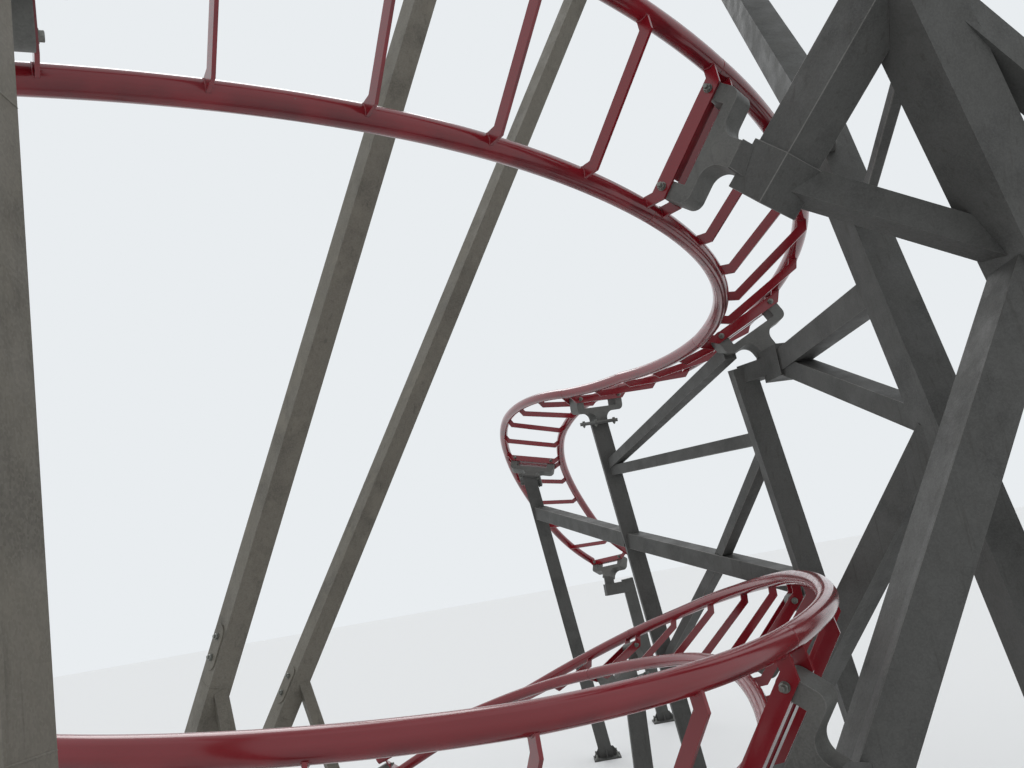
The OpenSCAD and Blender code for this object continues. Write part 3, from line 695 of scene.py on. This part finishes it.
def rail_beads(track, s):
    """Arcs of a torus: a small circle carried round the rail over the angle where a plate meets it and a
    little beyond, on both faces of the plate, its radius rippled along the arc and drawn in at the ends.
    Plates meet a rail from below and inside: 315 degrees on the left rail, 225 on the right."""
    ties = np.concatenate([BAYS * k + np.arange(1, BAYS) for k in range(track["lengths"])]).astype(float)
    joints = np.arange(track["lengths"] + 1) * float(BAYS)
    shift = s.frame_offset / s.bay
    frames = np.concatenate([joints[:-1] + shift, joints[1:] - shift])
    t = np.repeat(np.concatenate([ties, frames]), 4)
    plates = len(t) // 4
    side = np.tile([-1, -1, 1, 1], plates)
    face = np.tile([-1, 1, -1, 1], plates)
    reach = math.asin(min(1, s.tie_depth / s.rail)) + OVERRUN
    arc = np.linspace(-reach, reach, ARC_RINGS)
    middle = np.where(side > 0, math.radians(225), math.radians(315))
    angle = middle[:, None] + arc
    ripple = np.sin(np.arange(ARC_RINGS) * ARC_RIPPLE)
    swell = s.weld * np.where(np.abs(arc) == reach, 0.5, 1 + 0.12 * ripple)
    right, ahead, up = axes(track, t)
    out = np.cos(angle)[..., None] * right[:, None] + np.sin(angle)[..., None] * up[:, None]
    turn = np.arange(BEAD_SIDES) * 2 * np.pi / BEAD_SIDES
    middle_line = (centre(track, t) + side[:, None] * s.gauge / 2 * right
                   + face[:, None] * s.tie_thickness / 2 * ahead)
    path = middle_line[:, None] + s.rail / 2 * out
    ring = (np.cos(turn)[:, None] * out[:, :, None, :]
            + np.sin(turn)[:, None] * ahead[:, None, None, :])
    points = path[:, :, None] + swell[:, None, None] * ring
    return points.reshape(len(t), -1, 3)


class TRACK_OT_heads(bpy.types.Operator):
    """Support heads with ground edges, and the welds in their corners"""

    bl_idname = "track.heads"
    bl_label = "Support heads"

    def execute(self, context):
        s = context.scene.support_sizes
        for track in (UPPER, LOWER):
            for k in range(track["lengths"] + 1):
                finish_node(f"{track['name']}_head_{k + 1}", "galvanised_casting", "galvanised_steel",
                            s.head_edge, 2, s.bead)
        return {"FINISHED"}


SUPPORTS = (
    "left_post", "right_leg", "left_leg", "front_leg", "cross_tie", "outer_beam", "rear_column", "rear_leg",
    "braces", "frame_stays", "column_3", "column_4", "column_5", "column_6", "long_beam", "light_bars",
    "diagonal_bar", "lower_post_1", "lower_post_4", "lower_post_5", "raking_column_1", "raking_column_2",
    "short_leg_1", "short_leg_2", "top_beam",
)
# Those that stand apart from the frame, whose zinc is made paler as painted light
PAINTED_LIGHT_SUPPORTS = ("left_post", "raking_column_1", "raking_column_2", "short_leg_1", "short_leg_2", "top_beam")


class TRACK_OT_supports(bpy.types.Operator):
    """Posts, columns, legs, beams and braces with round corners and welds in their inner corners"""

    bl_idname = "track.supports"
    bl_label = "Supports"

    def execute(self, context):
        s = context.scene.support_sizes
        for node in SUPPORTS:
            # Painted light on the members that stand free, painted shade on the frame
            finish = "galvanised_open_section" if node in PAINTED_LIGHT_SUPPORTS else "galvanised_section"
            finish_node(node, finish, "galvanised_steel", s.section_edge, 3, s.bead)
        return {"FINISHED"}


def finish_node(node, finish, slot, edge, segments, bead):
    """Finished copy of a CAD node, in its place, with rounded edges, and beads in those of its inner corners
    that are over five bead radii long. On zinc each rounded outer corner has a thin paler line, a painted
    highlight."""
    bm = merged_copy(node)
    if bead:
        starts, ends = inner_corners(bm, 5 * bead)
        if len(starts):
            new_shell(node + "_beads", *beads(starts, ends, bead), BEADED, finish, slot)
    mesh = bpy.data.meshes.new(node + "_finished")
    bm.to_mesh(mesh)
    bm.free()
    mesh.shade_smooth()
    mesh.set_sharp_from_angle(angle=math.radians(TURNED))
    piece = new_piece(node + "_finished", mesh, material(finish), (node,))
    round_edges(piece, edge, segments)
    # Painted highlight: the rounded corners take the paler zinc
    if slot == "galvanised_steel":
        mesh.materials.append(material("galvanised_edge_highlight"))
        piece.modifiers["edge"].material = 1


class TRACK_OT_frame_lips(bpy.types.Operator):
    """Lips that turn inwards along the lower edge of each joint frame, between the bolts"""

    bl_idname = "track.frame_lips"
    bl_label = "Frame lips"

    def execute(self, context):
        s = context.scene.track_sizes
        out = s.frame_offset - s.tie_thickness / 2 - s.lip / 2 + BITE
        half = s.bolt_x - s.lip_clear
        for track in (UPPER, LOWER):
            origins, frames = joint_places(track)
            last = len(origins) - 1
            starts, ends, sides = [], [], []
            for way in (-1, 1):
                pick = slice(0, last) if way > 0 else slice(1, last + 1)
                for x, row in ((-half, starts), (half, ends)):
                    spot = np.array([x, way * out, s.frame_bottom + s.lip_thickness / 2])
                    row.append(origins[pick] + np.einsum("k,nkx->nx", spot, frames[pick]))
                sides.append(frames[pick, 1])
            shape = bars(np.concatenate(starts), np.concatenate(ends), np.concatenate(sides),
                         s.lip, s.lip_thickness, GROUND)
            new_shell(track["name"] + "_frame_lips", *shape, FLAT, "plate_enamel", "track_paint")
        return {"FINISHED"}


class TRACK_OT_splices(bpy.types.Operator):
    """Bolted splice plates on the raking columns, with the weld seam round each column and the left post"""

    bl_idname = "track.splices"
    bl_label = "Splices"

    def execute(self, context):
        d = context.scene.support_sizes
        seats, matrices, rings = [], [], []
        for n, (foot, top, middle) in enumerate(RAKES):
            foot, top = np.array(foot), np.array(top)
            z = (top - foot) / np.linalg.norm(top - foot)
            face = np.array([math.cos(RAKE_COMPASS), math.sin(RAKE_COMPASS), 0])
            x = face - face @ z * z
            x /= np.linalg.norm(x)
            y = np.cross(z, x)
            spot = foot + middle * z - d.rake / 2 * x
            # The splice plates take the paler zinc, painted light
            new_shell(f"splice_plate_{n + 1}", *splice_plate(spot, -x, y, z, d), FLAT,
                      "galvanised_open_section", "galvanised_steel")
            for shift in (-d.splice_place, d.splice_place):
                seats.append(spot + shift * z - d.splice * x)
                matrices.append(np.stack([z, y, -x]))
            rings.append((foot + (middle - d.seam_drop) * z, d.rake / 2 * x, d.rake / 2 * y))
        side = d.post / 2
        rings += [((0, 0, height), (side, 0, 0), (0, side, 0)) for height in d.post_seams]
        middles, across, deep = np.array(rings).transpose(1, 0, 2)[:, None]
        signs = np.array([(-1, -1), (1, -1), (1, 1), (-1, 1)])[:, :, None, None]
        corners = middles + signs[:, 0] * across + signs[:, 1] * deep
        starts, ends = corners.reshape(-1, 3), np.roll(corners, -1, 0).reshape(-1, 3)
        new_fasteners("splice_bolts", np.array(seats), np.array(matrices),
                      d.splice_washer, d.splice_end, NEAR_SIDES)
        # The seams take the paler zinc, painted light
        new_shell("section_seams", *beads(starts, ends, d.seam), BEADED,
                  "galvanised_open_section", "galvanised_steel")
        return {"FINISHED"}


def splice_plate(middle, out, side, along, d):
    """Plate with round ends: a stadium outline, a rectangle's straight sides and two half circles, as the
    rings of a closed skin that rise by the plate's thickness and step in for its ground edge."""
    turn = np.arange(PLATE_POINTS) * 2 * np.pi / PLATE_POINTS
    rise = np.array([0.0, d.splice - GROUND, d.splice])
    radius = d.splice_radius - np.array([0.0, 0.0, GROUND])
    reach = np.where(np.sin(turn) >= 0, d.splice_reach, -d.splice_reach)
    flat = (radius[:, None, None] * np.cos(turn)[:, None] * side
            + (radius[:, None, None] * np.sin(turn)[:, None] + reach[:, None]) * along)
    points = middle + flat + rise[:, None, None] * out
    blocks = skin(len(rise), PLATE_POINTS)
    if np.cross(side, along) @ out < 0:
        blocks = [block[:, ::-1] for block in blocks]
    return points, many(points.reshape(1, -1, 3), blocks)


class TRACK_OT_joint_bolts(bpy.types.Operator):
    """Bolts through the frames and the head at each joint, with a nut on the far frame"""

    bl_idname = "track.joint_bolts"
    bl_label = "Joint bolts"

    def execute(self, context):
        s = context.scene.track_sizes
        out = s.frame_offset + s.tie_thickness / 2
        for track in (UPPER, LOWER):
            origins, frames = joint_places(track)
            right, ahead, up = frames[:, 0], frames[:, 1], frames[:, 2]
            for way, name, proud in ((1, "bolts", 0.0), (-1, "nuts", s.bolt_end)):
                seats, matrices = [], []
                for x in (-s.bolt_x, s.bolt_x):
                    spot = np.array([x, way * out, -s.bolt_z])
                    seats.append(origins + np.einsum("k,nkx->nx", spot, frames))
                    matrices.append(np.stack([right, -way * up, way * ahead], 1))
                new_fasteners(f"{track['name']}_joint_{name}", np.concatenate(seats),
                              np.concatenate(matrices), s.joint_bolt, proud, NEAR_SIDES)
        return {"FINISHED"}


class TRACK_OT_flange_bolts(bpy.types.Operator):
    """Four bolts and nuts at each pair of flanges under a head"""

    bl_idname = "track.flange_bolts"
    bl_label = "Flange bolts"

    def execute(self, context):
        s, d = context.scene.track_sizes, context.scene.support_sizes
        for track in (UPPER, LOWER):
            origins, frames = joint_places(track)
            pick = np.array(track["flanged"]) - 1
            origins, frames = origins[pick], frames[pick]
            right, ahead, up = frames[:, 0], frames[:, 1], frames[:, 2]
            for name, z, way, proud in (("bolts", d.flange - s.reach, 1, 0.0),
                                        ("nuts", -s.reach - d.flange, -1, d.flange_end)):
                seats = np.concatenate([
                    origins + x * d.flange_bolt * right + y * d.flange_bolt * ahead + z * up
                    for x in (-1, 1) for y in (-1, 1)])
                matrices = np.tile(np.stack([right, way * ahead, way * up], 1), (4, 1, 1))
                new_fasteners(f"{track['name']}_flange_{name}", seats, matrices,
                              d.flange_washer, proud, FAR_SIDES)
        return {"FINISHED"}


class TRACK_OT_anchors(bpy.types.Operator):
    """Anchor rods with nuts at the corners of each base plate"""

    bl_idname = "track.anchors"
    bl_label = "Base anchors"

    def execute(self, context):
        d = context.scene.support_sizes
        seats = []
        for low, high in filter(None, map(base_plate, SUPPORTS)):
            xs, ys = ((low[n] + d.anchor_edge, high[n] - d.anchor_edge) for n in (0, 1))
            seats += [(x, y, d.base) for x in xs for y in ys]
        if not seats:
            raise RuntimeError("No base plate was found")
        matrices = np.broadcast_to(np.eye(3), (len(seats), 3, 3))
        new_fasteners("base_anchors", np.array(seats), matrices, d.anchor, d.anchor_end, FAR_SIDES)
        return {"FINISHED"}


def base_plate(node):
    """Two corners of a node's base plate, the square of the points that touch the floor, or nothing."""
    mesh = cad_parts[node].data
    points = np.empty(len(mesh.vertices) * 3, np.float32)
    mesh.vertices.foreach_get("co", points)
    points = points.reshape(-1, 3)
    low = points[np.abs(points[:, 2]) < TOUCHES]
    return (low.min(0), low.max(0)) if len(low) else None


class TRACK_OT_stage(bpy.types.Operator):
    """Pale floor, plain soft light and the camera"""

    bl_idname = "track.stage"
    bl_label = "Floor, light and camera"

    def execute(self, context):
        scene, looks = context.scene, context.scene.finishes
        lay_floor(looks)
        light_scene(scene, looks)
        set_camera(scene, looks)
        scene.view_settings.view_transform = "Standard"
        return {"FINISHED"}


def lay_floor(looks):
    """Flat square that reaches 400 m to each side, in a pale matt finish."""
    corners = 400.0 * np.array([(-1, -1, 0), (1, -1, 0), (1, 1, 0), (-1, 1, 0)])
    mesh = new_mesh("floor", corners, [(0, 1, 2, 3)], 0)
    floor = bpy.data.objects.new("floor", mesh)
    bpy.context.scene.collection.objects.link(floor)
    finish, tree = new_material("matt_floor")
    shader = add(tree, "BsdfPrincipled", {
        "Base Color": linear(looks.floor), "Roughness": 0.9, "Specular IOR Level": 0.1})
    add(tree, "OutputMaterial", {"Surface": shader}, None)
    mesh.materials.append(finish)


def light_scene(scene, looks):
    """Even light from all round, and one broad soft lamp high up beyond the object."""
    world = bpy.data.worlds.new("surroundings")
    scene.world = world
    world.use_nodes = True
    tree = world.node_tree
    tree.nodes.clear()
    light = add(tree, "Background", {"Color": linear(looks.daylight), "Strength": looks.sky})
    seen = add(tree, "Background", {"Color": linear(looks.backdrop), "Strength": 1.0})
    path = add(tree, "LightPath", {}, None).outputs
    direct = add(tree, "Math", {0: path["Is Camera Ray"], 1: path["Is Glossy Ray"]}, operation="MAXIMUM")
    shown = add(tree, "Math", {0: direct, 1: path["Is Transmission Ray"]}, operation="MAXIMUM")
    add(tree, "OutputWorld", {"Surface": add(tree, "MixShader", {0: shown, 1: light, 2: seen})}, None)
    lamp = bpy.data.lights.new("soft_lamp", "SUN")
    lamp.energy = looks.lamp
    lamp.angle = looks.lamp_width
    holder = bpy.data.objects.new("soft_lamp", lamp)
    holder.rotation_euler = looks.lamp_turn
    scene.collection.objects.link(holder)


def set_camera(scene, looks):
    """The camera looks along y, tilted up, and is then rolled about its own view."""
    camera = bpy.data.cameras.new("camera")
    camera.lens = looks.camera_lens
    camera.sensor_width = 36
    camera.clip_end = 1500
    view = bpy.data.objects.new("camera", camera)
    scene.collection.objects.link(view)
    p, q = looks.camera_pitch, looks.camera_roll
    ahead = np.array([0, math.cos(p), math.sin(p)])
    upright = np.array([0, -math.sin(p), math.cos(p)])
    level = np.array([1.0, 0, 0])
    right = level * math.cos(q) + upright * math.sin(q)
    up = upright * math.cos(q) - level * math.sin(q)
    matrix = np.eye(4)
    matrix[:3, 0], matrix[:3, 1], matrix[:3, 2] = right, up, -ahead
    matrix[:3, 3] = looks.camera_place
    view.matrix_world = Matrix(matrix.tolist())
    scene.camera = view


class TRACK_PT_panel(bpy.types.Panel):
    """Lists the pieces of the track section"""

    bl_idname = "TRACK_PT_panel"
    bl_label = "Track section"
    bl_space_type = "VIEW_3D"
    bl_region_type = "UI"
    bl_category = "Track"

    def draw(self, context):
        for operator in OPERATORS:
            self.layout.operator(operator.bl_idname)


OPERATORS = (
    TRACK_OT_stage, TRACK_OT_rails, TRACK_OT_plates, TRACK_OT_rail_welds, TRACK_OT_heads,
    TRACK_OT_supports, TRACK_OT_frame_lips, TRACK_OT_splices, TRACK_OT_joint_bolts,
    TRACK_OT_flange_bolts, TRACK_OT_anchors,
)
GROUPS = {"track_sizes": TrackSizes, "support_sizes": SupportSizes, "finishes": Finishes}


def register():
    """Registers the classes and hangs the settings on the scene."""
    for made in (*GROUPS.values(), *OPERATORS, TRACK_PT_panel):
        bpy.utils.register_class(made)
    for name, group in GROUPS.items():
        setattr(bpy.types.Scene, name, PointerProperty(type=group))


def unregister():
    """Takes the settings and the classes away again."""
    for name in GROUPS:
        delattr(bpy.types.Scene, name)
    for made in (TRACK_PT_panel, *reversed(OPERATORS), *GROUPS.values()):
        bpy.utils.unregister_class(made)


def main():
    """Registers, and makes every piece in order."""
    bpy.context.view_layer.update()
    register()
    for operator in OPERATORS:
        group, name = operator.bl_idname.split(".")
        getattr(getattr(bpy.ops, group), name)()


if __name__ == "__main__":
    main()
